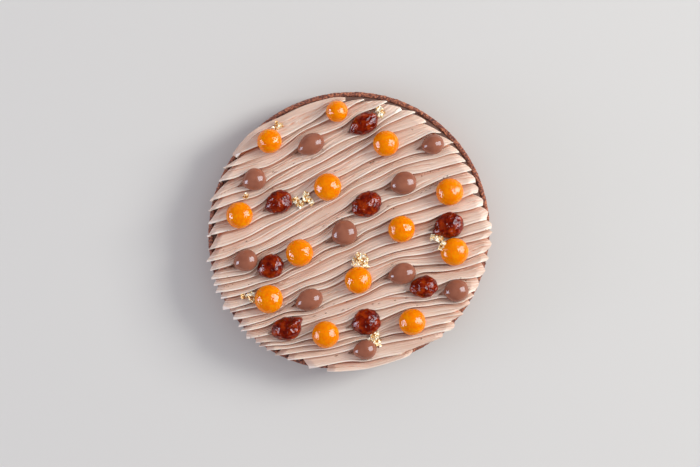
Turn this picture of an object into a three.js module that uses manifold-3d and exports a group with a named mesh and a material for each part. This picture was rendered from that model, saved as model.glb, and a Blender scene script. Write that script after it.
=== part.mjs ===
// A chocolate tart: a dark chocolate crust filled with ganache and covered with ribbons of milk chocolate
// cream, and set with orange gel drops, milk chocolate drops, caramel drops and flakes of gold leaf.
// Millimetres, +Z up. The origin is the middle of the crust's underside, +X runs along the ribbons.
import * as THREE from "three";
import Module from "manifold-3d";
import { mergeVertices } from "three/addons/utils/BufferGeometryUtils.js";

const wasm = await Module();
wasm.setup();

// Driving dimensions
const crust = {
  radius: 90, // of its outside
  outOfRound: 0.9, // more along the long axis, and less across it
  longAxis: 45,
  height: 20,
  wall: 3,
  floor: 3,
  edge: 0.8, // bevel of the rim and the foot
  sides: 72,
};
const flat = { side: -80, depth: 3.6, sharp: 8 }; // where the crust is a little flat, in degrees
const filling = { gap: 0.35, top: 19.3 };
const cream = {
  ribbons: 27, // bands of cream from the near rim to the far one
  near: -87.3, // first and last edge along the axis that crosses the bands
  far: 86.6,
  firstWidths: [5.6, 7.2], // widths of the first bands, before they are evened out
  nearWidth: 5.8, // and of those behind them, up to the last but one
  farWidth: 6.7,
  lastWidth: 10.2,
  uneven: 0.3,
  underside: 20.3,
  underCut: 0.5, // the underside stays back from the rim by this much
  crest: 27.2,
  face: 25.4,
  valley: 23.8,
  lift: 0.45,
  edgeCrest: 23.9, // heights where a band ends at the rim
  edgeFace: 23.4,
  edgeValley: 21.7,
  taper: 6,
  underNext: 0.75, // how far a face runs on under the next crest
  hollow: 0.15, // and how far it is below that crest at least
  notchLeft: 5.6, // how far the valleys stay back from the tips of the bands
  notchRight: 4.2,
  tipUneven: 2.6,
  firstEnds: [5, 3.8], // how far the first band's inner line stays back at its ends
  lastEnds: [3.4, 2.4], // and the last one's
  flushFrom: 13, // from this band on the right ends run along the rim, with small notches
  flushWithin: 4, // after so many more bands
  flushLean: 0.85,
  flushNotch: 0.6,
  roundEnd: 2.6, // degrees by which the first band's right end is rounded off
  roundPower: 2.5,
  sway: 0.22, // of a band's width, to both sides
  calmEnd: 6, // a band neither sways nor gives way this near to its ends
  stations: 26,
  step: 1.5,
  tolerance: 0.03,
  widthSeed: 11,
  traitSeed: 23,
};
// Directions of the bands in degrees: shallow at both rims, and steep in a zone that leans to the right
const flow = {
  rim: 9,
  swing: 20, // steeper than at the rims by this much
  swingLoss: 14, // and by this much less at the near rim
  zone: -25, // x of the zone's middle where y is 0
  leanFar: 0.19,
  leanNear: 0.25,
  reach: 50, // half width of the zone
  widen: 0.35,
};
const leastStep = 0.05; // shares of a step that a line may end with are no smaller
const crossAxis = THREE.MathUtils.degToRad(108); // direction across the bands
// Places where the flow turns a little more, by so many degrees
const bends = [
  { x: 75, y: 20, wide: 40, high: 38, by: 8 },
  { x: -20, y: -82, wide: 50, high: 24, by: -9 },
  { x: -80, y: 38, wide: 18, high: 9, by: -11 },
  { x: -62, y: -8, wide: 20, high: 14, by: 6 },
  { x: 36, y: 50, wide: 20, high: 16, by: -9 },
];
// How far the tips hang over the crust, and where they stay back from its edge and show it, in degrees
const overhang = { all: 0.5, side: 232, more: 1.1 };
const opening = { side: 70, half: 68, soft: 0.3, depth: 4 };
const dent = { side: 247, depth: 2.6, sharp: 150 };
// How drops part the ribbons: the cream stays `clear` below a drop, and is low out to `around` from it
const pocket = { steep: 0.3, spread: 1.15, along: 1.12, clear: 0.9, around: 2.6, low: 0.3, gap: 0.3 };

// Each drop: x, y, radius and how long it is for its width. Soft drops have a tail on their -X side.
const orangeDrop = { name: "orangeDrop", height: 13.2, middle: 29.2, sides: 14, rings: 7, tail: 0, push: 0.25 };
orangeDrop.at = [
  [-7.7, 77.0, 7.1, 1], [-50.4, 58.1, 8.0, 1], [23.5, 56.6, 8.4, 1], [-13.5, 28.9, 8.9, 1],
  [64.0, 25.8, 8.9, 1.06], [-69.5, 11.0, 8.6, 1], [33.4, 2.2, 8.7, 1], [-31.4, -12.9, 8.9, 1],
  [67.0, -12.2, 9.1, 1], [5.9, -30.2, 8.8, 1], [-50.9, -42.3, 9.2, 1], [-14.8, -64.8, 8.8, 1],
  [40.2, -56.8, 8.7, 1],
];
const milkDrop = { name: "milkDrop", height: 11.4, middle: 27.9, sides: 12, rings: 6, tail: 0.28, push: 0.4 };
milkDrop.at = [
  [-24.7, 55.3, 7.8, 1.28], [53.1, 55.6, 6.8, 1.08], [-60.6, 33.2, 7.4, 1.02], [34.3, 30.8, 7.9, 1.1],
  [-3.6, -1.0, 8.3, 1], [-66.0, -18.3, 7.3, 1.08], [33.7, -26.6, 7.8, 1.22], [-25.6, -43.3, 7.8, 1.22],
  [68.1, -37.2, 7.4, 1.04], [10.0, -74.8, 6.8, 1.11],
];
const darkDrop = { name: "darkDrop", height: 10.8, middle: 27.6, sides: 12, rings: 6, tail: 0.16, push: 0.36 };
darkDrop.at = [
  [9.1, 68.8, 8.0, 1.48], [-45.2, 18.8, 8.0, 1.2], [10.8, 17.5, 8.8, 1.25], [63.4, 4.4, 8.8, 1.11],
  [-50.2, -21.9, 8.0, 1.13], [47.4, -34.8, 7.8, 1.22], [-40.0, -61.4, 8.4, 1.21],
  [10.6, -57.1, 8.8, 1.07],
];
// Flakes of gold leaf on the cream: x, y, length, width and turn in degrees
const flake = { thick: 1.1, peak: 1.76, sunk: 1.8, rough: 0.28, points: 7, seed: 40 };
flake.at = [
  [-44.6, 67, 8, 4.2, -10], [20.6, 77.4, 6.5, 5, 40], [-65.6, 23.1, 3, 2.4, 80],
  [-29.8, 20.6, 10.4, 8, 40], [7.2, -18, 8.6, 7.2, 0], [56.6, -5.2, 6.6, 10.4, 35],
  [-61.8, -41.2, 5, 7, 10], [15.4, -67.8, 6.4, 5.4, 30],
];

const material = {
  crust: new THREE.MeshStandardMaterial({ color: 0x5a2e27, roughness: 0.85 }),
  filling: new THREE.MeshStandardMaterial({ color: 0x6b463c, roughness: 0.4 }),
  cream: new THREE.MeshStandardMaterial({ color: 0xd8b7a3, roughness: 0.6 }),
  orangeDrop: new THREE.MeshStandardMaterial({ color: 0xf78a00, roughness: 0.12 }),
  milkDrop: new THREE.MeshStandardMaterial({ color: 0x8a5548, roughness: 0.25 }),
  darkDrop: new THREE.MeshStandardMaterial({ color: 0x571508, roughness: 0.12 }),
};

// Small tools

function randomFrom(seed) {
  let state = seed;
  return () => {
    state = (state * 1664525 + 1013904223) % 4294967296;
    return state / 4294967296;
  };
}

const { lerp, clamp, degToRad } = THREE.MathUtils;
const ease = (t) => THREE.MathUtils.smoothstep(t, 0, 1);
const facing = (angle, side) => Math.max(0, Math.cos(angle - degToRad(side)));
const heading = (angle) => new THREE.Vector2(Math.cos(angle), Math.sin(angle));

function solidOf(geometry) {
  const bare = new THREE.BufferGeometry()
    .setAttribute("position", geometry.getAttribute("position"))
    .setIndex(geometry.index);
  const merged = mergeVertices(bare, 1e-3);
  const vertProperties = merged.attributes.position.array;
  const triVerts = new Uint32Array(merged.index.array);
  return new wasm.Manifold(new wasm.Mesh({ numProp: 3, vertProperties, triVerts }));
}

function geometryOf(solid) {
  const mesh = solid.getMesh();
  const places = new THREE.BufferAttribute(mesh.vertProperties, 3);
  const geometry = new THREE.BufferGeometry().setAttribute("position", places);
  geometry.setIndex(new THREE.BufferAttribute(mesh.triVerts, 1));
  geometry.computeVertexNormals();
  return geometry;
}

// Plan of the tart

function crustRadius(angle) {
  const longer = crust.outOfRound * Math.cos(2 * (angle - degToRad(crust.longAxis)));
  return crust.radius + longer - flat.depth * facing(angle, flat.side) ** flat.sharp;
}

function creamRadius(angle) {
  const over = overhang.all + overhang.more * facing(angle, overhang.side) ** 2;
  const fromOpen = facing(angle, opening.side) - Math.cos(degToRad(opening.half));
  const open = opening.depth * ease(fromOpen / opening.soft);
  return crustRadius(angle) + over - open - dent.depth * facing(angle, dent.side) ** dent.sharp;
}

function flowAngle(x, y) {
  const far = Math.max(0, y);
  const near = Math.max(0, -y);
  const middle = flow.zone + flow.leanFar * far + flow.leanNear * near;
  const away = (x - middle) / (flow.reach + flow.widen * far);
  const swing = flow.swing - (flow.swingLoss * near) / crust.radius;
  let angle = flow.rim + swing * Math.exp(-(away ** 4));
  for (const bend of bends)
    angle += bend.by * Math.exp(-(((x - bend.x) / bend.wide) ** 2) - ((y - bend.y) / bend.high) ** 2);
  return degToRad(angle);
}

// Ribbons

// The edges between the ribbons, as distances along the cross axis
function ribbonEdges() {
  const random = randomFrom(cream.widthSeed);
  const widths = Array.from({ length: cream.ribbons }, (_, k) => {
    if (k < cream.firstWidths.length) return cream.firstWidths[k];
    if (k === cream.ribbons - 1) return cream.lastWidth;
    const even = lerp(cream.nearWidth, cream.farWidth, k / (cream.ribbons - 1));
    return even * (1 + cream.uneven * (random() - 0.5) * 2);
  });
  const total = widths.reduce((sum, width) => sum + width, 0);
  const edges = [cream.near];
  for (const width of widths) edges.push(edges.at(-1) + (width * (cream.far - cream.near)) / total);
  return edges;
}

// A line along the flow, both ways from its place on the cross axis, out to the cream's edge less `back`
function flowLine(along, back) {
  const start = heading(crossAxis).multiplyScalar(along);
  const half = (direction) => {
    const line = [];
    const at = start.clone();
    while (true) {
      const first = flowAngle(at.x, at.y);
      const reach = (direction * cream.step) / 2;
      const turn = flowAngle(at.x + reach * Math.cos(first), at.y + reach * Math.sin(first));
      const next = at.clone().add(heading(turn).multiplyScalar(2 * reach));
      const limit = creamRadius(next.angle()) - back[direction > 0 ? 1 : 0];
      if (next.length() > limit) {
        const over = (limit - at.length()) / (next.length() - at.length());
        line.push(at.clone().lerp(next, clamp(over, leastStep, 1)));
        return line;
      }
      line.push(next.clone());
      at.copy(next);
    }
  };
  const left = half(-1).reverse();
  return Object.assign([...left, start, ...half(1)], { middle: left.length });
}

function resample(line, count) {
  const lengths = [0];
  line.slice(1).forEach((p, i) => lengths.push(lengths[i] + p.distanceTo(line[i])));
  const total = lengths.at(-1);
  const points = [];
  let i = 0;
  for (let k = 0; k < count; k++) {
    const want = (total * k) / (count - 1);
    while (i < line.length - 2 && lengths[i + 1] < want) i++;
    const share = (want - lengths[i]) / (lengths[i + 1] - lengths[i]);
    const at = line[i].clone().lerp(line[i + 1], share);
    points.push({ at, s: want - lengths[line.middle], fromEnd: Math.min(want, total - want) });
  }
  return points;
}

const allDrops = [orangeDrop, milkDrop, darkDrop].flatMap((kind) =>
  kind.at.map(([x, y, radius, longForWide], i) => {
    const stretch = Math.sqrt(longForWide);
    return { x, y, radius, stretch, kind, number: i + 1, turn: flowAngle(x, y) };
  }),
);

// Where a drop pushes the ribbons aside, across the flow
function pushed(x, y) {
  const move = new THREE.Vector2();
  for (const drop of allDrops) {
    const offset = new THREE.Vector2(x - drop.x, y - drop.y).rotateAround(new THREE.Vector2(), -drop.turn);
    const side = offset.y / drop.radius;
    const along = offset.x / (pocket.along * drop.radius);
    const size = drop.kind.push * drop.radius * Math.tanh(side / pocket.steep);
    const shift = size * Math.exp(-((side / pocket.spread) ** 2) - along ** 2);
    move.add(heading(drop.turn + Math.PI / 2).multiplyScalar(shift));
  }
  return move;
}

// The height that the cream may reach under or beside the drops
function roomAt(x, y) {
  let room = Infinity;
  for (const { x: dropX, y: dropY, radius, stretch, kind, turn } of allDrops) {
    const away = Math.hypot(x - dropX, y - dropY);
    const from = Math.atan2(y - dropY, x - dropX) - turn;
    const oval = radius * Math.hypot(stretch * Math.cos(from), Math.sin(from) / stretch);
    const wide = oval * (1 + kind.tail / 8);
    const share = Math.min(1, away / (wide + pocket.clear));
    const under = kind.middle - (kind.height / 2) * Math.sqrt(1 - share * share) - pocket.clear;
    if (away < wide + pocket.around) room = Math.min(room, under, kind.middle - pocket.low * kind.height);
  }
  return room;
}

// A slow wave along a ribbon, from -1 to 1
function waves(random, shortest, longest) {
  const parts = Array.from({ length: 3 }, () => ({
    length: lerp(shortest, longest, random()),
    phase: 2 * Math.PI * random(),
    size: 0.5 + 0.5 * random(),
  }));
  const total = parts.reduce((sum, { size }) => sum + size, 0);
  const wave = (s, { length, phase, size }) => size * Math.sin(s / length + phase);
  return (s) => parts.reduce((sum, part) => sum + wave(s, part), 0) / total;
}

// What sets one ribbon apart from the next
function ribbonTraits() {
  const random = randomFrom(cream.traitSeed);
  return Array.from({ length: cream.ribbons + 1 }, () => {
    const flatAt = lerp(-75, 75, random());
    const flatLong = lerp(7, 16, random());
    const flatBy = Math.max(0, 1.7 * random() - 0.8);
    return {
      flat: (s) => flatBy * Math.exp(-(((s - flatAt) / flatLong) ** 2)),
      tips: [cream.tipUneven * (random() - 0.5), cream.tipUneven * (random() - 0.5)],
      blunt: lerp(0.75, 1.3, random()),
      notch: lerp(0.65, 1.2, random()),
      leafAt: lerp(0.2, 0.6, random()),
      leafRound: lerp(1, 1.9, random()),
      sway: waves(random, 10, 36),
      lift: waves(random, 9, 45),
      depth: lerp(-0.7, 0.5, random()),
    };
  });
}

// How far a line stays back from both tips: a slanted cut at the left, a leaf at the right
function endBack(k, own, following, share) {
  if (k === 0) return cream.firstEnds;
  if (k === cream.ribbons - 1) return cream.lastEnds;
  const left = cream.notchLeft * own.notch * share ** own.blunt;
  const flush = ease((k - cream.flushFrom) / cream.flushWithin);
  const leafAt = own.leafAt * (1 - cream.flushLean * flush);
  const leaf = Math.abs(share - leafAt) / Math.max(leafAt, 1 - leafAt);
  const right = cream.notchRight * lerp(1, cream.flushNotch, flush) * leaf ** own.leafRound;
  return [left, right].map((back, i) => back + lerp(own.tips[i], following.tips[i], share));
}

// Three lines for each ribbon: its crest, the middle of its face, and its valley under the next crest
function ribbonRows() {
  const edges = ribbonEdges();
  const traits = ribbonTraits();
  const rows = [];
  for (let k = 0; k < cream.ribbons; k++) {
    const width = edges[k + 1] - edges[k];
    const [own, following] = [traits[k], traits[k + 1]];
    const outermost = k === cream.ribbons - 1;
    const crestAt = (s) => lerp(cream.crest + cream.lift * own.lift(s), cream.face, own.flat(s));
    const valleyAt = (s) => lerp(cream.valley + following.depth, cream.face, following.flat(s));
    const parts = [
      { share: 0, z: crestAt, edge: cream.edgeCrest },
      { share: 0.5, z: () => cream.face, edge: cream.edgeFace },
      { share: 1, z: valleyAt, edge: cream.edgeValley },
    ];
    for (const { share, z, edge } of parts) {
      const under = share === 1 && !outermost ? cream.underNext : 0;
      // the lines of the first and the last band are drawn out to the rim from the band's inner line
      const toRim = k === 0 ? 1 - share : outermost ? share : 0;
      const innerShare = k === 0 ? 1 : outermost ? 0 : share;
      const from = edges[k] + innerShare * width + (k === 0 ? cream.underNext : under);
      const stations = resample(flowLine(from, endBack(k, own, following, innerShare)), cream.stations);
      const first = stations[0].at.angle();
      const rounded = k === 0 ? degToRad(cream.roundEnd) * toRim ** cream.roundPower : 0;
      const final = stations.at(-1).at.angle() - rounded;
      rows.push(
        stations.map(({ at, s, fromEnd }, i, { length }) => {
          const azimuth = lerp(first, final, i / (length - 1));
          at.lerp(heading(azimuth).multiplyScalar(creamRadius(azimuth)), toRim);
          const turn = flowAngle(at.x, at.y);
          const end = i === 0 || i === length - 1;
          const wave = lerp(own.sway(s), following.sway(s), ease(share)) * (1 - toRim);
          const inside = ease(fromEnd / cream.calmEnd);
          const sway = cream.sway * width * wave * inside - under * following.flat(s);
          const place = at.clone().add(heading(turn + Math.PI / 2).multiplyScalar(sway));
          if (!end) place.add(pushed(at.x, at.y).multiplyScalar(inside));
          const top = lerp(edge, z(s), ease(fromEnd / cream.taper));
          return new THREE.Vector3(place.x, place.y, Math.min(top, roomAt(place.x, place.y)));
        }),
      );
    }
  }
  // a valley stays below the crest that hangs over it, also where a drop holds that crest down
  rows.forEach((row, r) => {
    const overhanging = rows[r + 1];
    if (r % 3 !== 2 || !overhanging) return;
    row.forEach((place, i) => {
      place.z = Math.min(place.z, overhanging[i].z - cream.hollow);
    });
  });
  return rows;
}

function creamSolid() {
  const rows = ribbonRows();
  const count = cream.stations;
  const vertices = rows.flat();
  const index = (row, station) => row * count + station;
  const faces = [];
  for (let r = 0; r < rows.length - 1; r++)
    for (let s = 0; s < count - 1; s++) {
      const [a, b, c, d] = [index(r, s), index(r, s + 1), index(r + 1, s + 1), index(r + 1, s)];
      faces.push([a, b, c], [a, c, d]);
    }
  const lastRow = rows.length - 1;
  const loop = [];
  for (let s = 0; s < count; s++) loop.push(index(0, s));
  for (let r = 1; r < lastRow; r++) loop.push(index(r, count - 1));
  for (let s = count - 1; s >= 0; s--) loop.push(index(lastRow, s));
  for (let r = lastRow - 1; r > 0; r--) loop.push(index(r, 0));
  const under = loop.map((i) => {
    const { x, y } = vertices[i];
    const inward = 1 - cream.underCut / Math.hypot(x, y);
    vertices.push(new THREE.Vector3(x * inward, y * inward, cream.underside));
    return vertices.length - 1;
  });
  loop.forEach((top, i) => {
    const j = (i + 1) % loop.length;
    faces.push([top, under[i], under[j]], [top, under[j], loop[j]]);
  });
  const outline = under.map((i) => new THREE.Vector2(vertices[i].x, vertices[i].y));
  for (const [a, b, c] of THREE.ShapeUtils.triangulateShape(outline, []))
    faces.push([under[c], under[b], under[a]]);
  const geometry = new THREE.BufferGeometry().setFromPoints(vertices);
  geometry.setIndex(faces.flat());
  return solidOf(geometry);
}

// Drops

// A squashed ball in its place, with a tail drawn out towards -X
function dropSolid({ x, y, radius, stretch, kind, turn }, grow = 0) {
  const geometry = new THREE.SphereGeometry(1, kind.sides, kind.rings).rotateX(Math.PI / 2);
  const place = geometry.attributes.position;
  for (let i = 0; i < place.count; i++) {
    const point = new THREE.Vector3().fromBufferAttribute(place, i);
    const tail = kind.tail * (facing(Math.atan2(point.y, point.x), 180) ** 4 - 0.4);
    const long = radius * stretch * (1 + tail) + grow;
    const wide = radius / stretch + grow;
    const shift = (radius * stretch * kind.tail) / 2;
    place.setXYZ(i, point.x * long + shift, point.y * wide, point.z * (kind.height / 2 + grow));
  }
  return solidOf(geometry.rotateZ(turn).translate(x, y, kind.middle));
}

// Gold leaf

function flakeSolid([x, y, length, width, turn], seed, surface) {
  const random = randomFrom(seed);
  const outline = Array.from({ length: flake.points }, (_, i) => {
    const angle = (i / flake.points) * 2 * Math.PI;
    const size = 0.5 * (1 - flake.rough * random() * 2 * (i % 2));
    return new THREE.Vector3(length * size * Math.cos(angle), width * size * Math.sin(angle), 0);
  });
  const top = outline.map((p) => p.clone().setZ(flake.thick * (0.5 + random())));
  const peak = new THREE.Vector3(0, 0, flake.peak);
  const base = outline.map((p) => p.clone().setZ(-flake.sunk));
  const foot = new THREE.Vector3(0, 0, -flake.sunk);
  const vertices = [...top, ...base, peak, foot];
  const n = flake.points;
  const faces = [];
  for (let i = 0; i < n; i++) {
    const j = (i + 1) % n;
    faces.push([2 * n, i, j], [i, n + i, n + j], [i, n + j, j], [2 * n + 1, n + j, n + i]);
  }
  const geometry = new THREE.BufferGeometry().setFromPoints(vertices);
  geometry.setIndex(faces.flat());
  geometry.rotateZ(degToRad(turn)).translate(x, y, surface);
  return solidOf(geometry);
}

// Crust and filling

function turned(profile, radiusAt) {
  const geometry = new THREE.LatheGeometry(profile, crust.sides).rotateX(Math.PI / 2);
  const place = geometry.attributes.position;
  for (let i = 0; i < place.count; i++) {
    const x = place.getX(i);
    const y = place.getY(i);
    const grow = radiusAt(Math.atan2(y, x)) / crust.radius;
    place.setXY(i, x * grow, y * grow);
  }
  return geometry;
}

function crustGeometry() {
  const outer = crust.radius;
  const inner = outer - crust.wall;
  const { edge, height, floor } = crust;
  const profile = [
    [0, 0], [outer - edge, 0], [outer, edge], [outer, height - edge], [outer - edge, height],
    [inner + edge, height], [inner, height - edge], [inner, floor], [0, floor],
  ].map(([r, z]) => new THREE.Vector2(r, z));
  return turned(profile, crustRadius);
}

function fillingGeometry() {
  const outer = crust.radius - crust.wall - filling.gap;
  const bottom = crust.floor + filling.gap;
  const profile = [[0, bottom], [outer, bottom], [outer, filling.top], [0, filling.top]];
  return turned(profile.map(([r, z]) => new THREE.Vector2(r, z)), crustRadius);
}

// Assembly

const tart = new THREE.Group();

function add(name, geometry, look) {
  const mesh = new THREE.Mesh(geometry, look);
  mesh.name = name;
  tart.add(mesh);
}

add("crust", geometryOf(solidOf(crustGeometry())), material.crust);
add("filling", geometryOf(solidOf(fillingGeometry())), material.filling);

let ribbons = creamSolid();
flake.at.forEach((spot, i) => {
  ribbons = ribbons.add(flakeSolid(spot, flake.seed + i, cream.face));
});

for (const drop of allDrops) {
  add(drop.kind.name + drop.number, geometryOf(dropSolid(drop)), material[drop.kind.name]);
  ribbons = ribbons.subtract(dropSolid(drop, pocket.gap));
}
add("cream", geometryOf(ribbons.simplify(cream.tolerance)), material.cream);

export default tart;
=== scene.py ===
import bpy
import math
import numpy as np
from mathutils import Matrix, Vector, noise


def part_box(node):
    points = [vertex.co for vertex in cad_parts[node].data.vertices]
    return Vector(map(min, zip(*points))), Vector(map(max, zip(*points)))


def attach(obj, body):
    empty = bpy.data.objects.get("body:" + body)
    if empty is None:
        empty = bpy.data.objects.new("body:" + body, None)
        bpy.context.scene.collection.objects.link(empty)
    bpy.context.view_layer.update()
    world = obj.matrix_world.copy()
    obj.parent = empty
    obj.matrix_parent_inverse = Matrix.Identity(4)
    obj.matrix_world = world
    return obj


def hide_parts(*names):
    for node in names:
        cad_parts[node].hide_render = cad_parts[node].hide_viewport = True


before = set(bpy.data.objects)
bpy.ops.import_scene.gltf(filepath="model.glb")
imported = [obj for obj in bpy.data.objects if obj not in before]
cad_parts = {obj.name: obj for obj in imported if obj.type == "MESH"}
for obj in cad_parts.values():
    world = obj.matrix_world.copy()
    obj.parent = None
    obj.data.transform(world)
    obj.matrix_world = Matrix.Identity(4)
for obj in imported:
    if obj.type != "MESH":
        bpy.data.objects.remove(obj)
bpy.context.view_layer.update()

mm = 0.001  # the values below are millimetres, Blender's own are metres


# numbers from 0 to 1 in an order that the seed sets
def randomFrom(seed):
    state = seed
    span = 2 ** 32

    def draw():
        nonlocal state
        state = (state * 1664525 + 1013904223) % span
        return state / span
    return draw


def ease(t):
    t = np.clip(t, 0, 1)
    return t * t * (3 - 2 * t)


def mix(a, b, t):
    return a + (b - a) * t


def deselectAll():
    if bpy.context.object and bpy.context.object.mode != "OBJECT":
        bpy.ops.object.mode_set(mode="OBJECT")
    bpy.ops.object.select_all(action="DESELECT")


# last steps of each piece: smooth faces, its finish, and what it stands for
def settle(piece, look, node, smoothTo=180):
    deselectAll()
    piece.select_set(True)
    bpy.context.view_layer.objects.active = piece
    bpy.ops.object.shade_smooth_by_angle(angle=math.radians(smoothTo))
    piece.data.materials.clear()
    piece.data.materials.append(look)
    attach(piece, "root")
    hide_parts(node)


# smooth noise from 0 to 1 that is drawn out along the ribbons
def fibreNoise(s, a, longCell, wideCell, seed):
    reach = 130
    cells = np.random.default_rng(seed).random((int(2 * reach / wideCell) + 3, int(2 * reach / longCell) + 3))
    x, y = (s + reach) / longCell, (a + reach) / wideCell
    i, j = np.floor(x).astype(int), np.floor(y).astype(int)
    tx, ty = ease(x - i), ease(y - j)
    near = mix(cells[j, i], cells[j, i + 1], tx)
    far = mix(cells[j + 1, i], cells[j + 1, i + 1], tx)
    return mix(near, far, ty)


tart = {  # sides are azimuths in degrees
    "radius": 90.0,
    "height": 20,
    "wall": 3,
    "outOfRound": 0.9,
    "longAxis": 45,
    "flatSide": -80,  # where the crust is a little flat
    "flatDepth": 3.6,
    "flatSharp": 8,
    "overhang": 0.5,  # the cream's tips hang over the crust
    "reachSide": 232,  # and do so most on this side
    "reach": 1.1,
    "openSide": 70,  # but here they stay back and show the crust
    "openHalf": 68,
    "openSoft": 0.3,
    "openDepth": 4.0,
    "dentSide": 247,  # and here too, over a short stretch
    "dentDepth": 2.6,
    "dentSharp": 150,
}
flow = {  # directions of the ribbons in degrees: shallow at the rims, steep in a zone that leans to the right
    "rim": 9,
    "swing": 20,
    "swingLoss": 14,
    "zone": -25,
    "leanFar": 0.19,
    "leanNear": 0.25,
    "reach": 50,
    "widen": 0.35,
    "crossAxis": 108,
}
# places where the flow turns a little more: x, y, reach along x and along y, and degrees
bends = [
    (75, 20, 40, 38, 8),
    (-20, -82, 50, 24, -9),
    (-80, 38, 18, 9, -11),
    (-62, -8, 20, 14, 6),
    (36, 50, 20, 16, -9),
]


# 1 on the side that the azimuth names, and less away from it
def towards(angle, side):
    return np.maximum(0, np.cos(angle - math.radians(side)))


def crustRadius(angle):
    flat = towards(angle, tart["flatSide"]) ** tart["flatSharp"]
    longer = tart["outOfRound"] * np.cos(2 * (angle - math.radians(tart["longAxis"])))
    return tart["radius"] + longer - tart["flatDepth"] * flat


def creamRadius(angle):
    fromOpen = np.cos(angle - math.radians(tart["openSide"])) - math.cos(math.radians(tart["openHalf"]))
    less = tart["openDepth"] * ease(fromOpen / tart["openSoft"])
    less = less + tart["dentDepth"] * towards(angle, tart["dentSide"]) ** tart["dentSharp"]
    more = tart["reach"] * towards(angle, tart["reachSide"]) ** 2
    return crustRadius(angle) + tart["overhang"] + more - less


def flowAngle(x, y):
    far = np.maximum(0, y)
    near = np.maximum(0, -y)
    middle = flow["zone"] + flow["leanFar"] * far + flow["leanNear"] * near
    away = (x - middle) / (flow["reach"] + flow["widen"] * far)
    swing = flow["swing"] - flow["swingLoss"] * near / tart["radius"]
    angle = flow["rim"] + swing * np.exp(-away ** 4)
    for atX, atY, wide, high, more in bends:
        angle = angle + more * np.exp(-((x - atX) / wide) ** 2 - ((y - atY) / high) ** 2)
    return np.radians(angle)


def newMaterial(name):
    look = bpy.data.materials.new(name)
    look.use_nodes = True
    return look, look.node_tree, look.node_tree.nodes["Principled BSDF"]


def addNode(tree, kind, inputs=(), **settings):
    node = tree.nodes.new(kind)
    for key, value in settings.items():
        setattr(node, key, value)
    for key, value in dict(inputs).items():
        if isinstance(value, bpy.types.NodeSocket):
            tree.links.new(value, node.inputs[key])
        else:
            node.inputs[key].default_value = value
    return node


def objectPlace(tree):
    return addNode(tree, "ShaderNodeTexCoord").outputs["Object"]


def noiseOf(tree, place, inputs):
    return addNode(tree, "ShaderNodeTexNoise", {"Vector": place, **inputs}).outputs["Fac"]


# an uneven surface that several finishes share: noise as a mask, and the same noise as a bump
def makeUnevenness():
    group = bpy.data.node_groups.new("unevenness", "ShaderNodeTree")
    noiseInputs, bumpInputs = ("Scale", "Detail", "Roughness", "Distortion"), ("Distance", "Strength")
    for name in noiseInputs + bumpInputs:
        group.interface.new_socket(name=name, in_out="INPUT", socket_type="NodeSocketFloat")
    group.interface.new_socket(name="Mask", in_out="OUTPUT", socket_type="NodeSocketFloat")
    group.interface.new_socket(name="Normal", in_out="OUTPUT", socket_type="NodeSocketVector")
    given = group.nodes.new("NodeGroupInput").outputs
    mask = noiseOf(group, objectPlace(group), {name: given[name] for name in noiseInputs})
    bump = addNode(group, "ShaderNodeBump", {"Height": mask, **{name: given[name] for name in bumpInputs}})
    addNode(group, "NodeGroupOutput", {"Mask": mask, "Normal": bump.outputs["Normal"]})
    return group


unevenness = makeUnevenness()


def uneven(tree, scale, detail, distance, strength, roughness=0.5, distortion=0.0):
    node = addNode(tree, "ShaderNodeGroup", node_tree=unevenness)
    values = {"Scale": scale, "Detail": detail, "Roughness": roughness,
              "Distortion": distortion, "Distance": distance, "Strength": strength}
    for name, value in values.items():
        node.inputs[name].default_value = value
    return node.outputs["Mask"], node.outputs["Normal"]


# the Mix node's sockets go by number: 0 is the factor, 2 and 3 are numbers, 6 and 7 colours
def mixColours(tree, factor, first, second, blend="MIX"):
    inputs = {0: factor, 6: first, 7: second}
    return addNode(tree, "ShaderNodeMix", inputs, data_type="RGBA", blend_type=blend).outputs[2]


def ramp(tree, factor, stops):
    node = tree.nodes.new("ShaderNodeValToRGB")
    tree.links.new(factor, node.inputs["Fac"])
    points = node.color_ramp.elements
    while len(points) < len(stops):
        points.new(0.5)
    for point, (at, colour) in zip(points, stops):
        point.position = at
        point.color = (*colour, 1)
    return node.outputs["Color"]


view = {
    "photoSize": (700, 467),
    "photoMiddle": (348.95, 232.6),  # pixel that shows the tart's middle
    "mmPerPixel": 0.639,
    "distance": 1500,
    "sensor": 36,
    "farthest": 20000,
}


def makeCamera():
    width, height = view["photoSize"]
    scale = view["mmPerPixel"]
    x = (width / 2 - view["photoMiddle"][0]) * scale
    y = (view["photoMiddle"][1] - height / 2) * scale
    bpy.ops.object.camera_add(location=(x * mm, y * mm, (tart["height"] + view["distance"]) * mm))
    camera = bpy.context.object
    camera.data.sensor_width = view["sensor"]
    camera.data.lens = view["sensor"] * view["distance"] / (width * scale)
    camera.data.clip_end = view["farthest"] * mm
    bpy.context.scene.camera = camera


lamps = {
    # name: azimuth, elevation, distance, size x and y, watts and colour,
    # and whether it shows in diffuse light and in highlights
    "key": (17, 31, 3000, 1000, 1200, 80, (1.0, 0.985, 0.95), True, False),
    "window": (12, 40, 2500, 1600, 2200, 105, (0.76, 0.90, 1.0), False, True),
    "fill": (188, 16, 2500, 900, 700, 12, (0.74, 0.76, 1.0), True, False),
    "door": (190, 22, 2500, 1400, 1200, 60, (0.72, 0.8, 1.0), False, True),
}
room = {
    "colour": (0.97, 0.94, 1.0, 1),
    "light": 0.68,
    "mirrored": 0.05,  # what glossy surfaces mirror of the room is darker than the light it gives
    "floorSize": 6000,
    "floorColour": (0.60, 0.60, 0.575, 1),
    "floorRoughness": 0.8,
}


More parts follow.
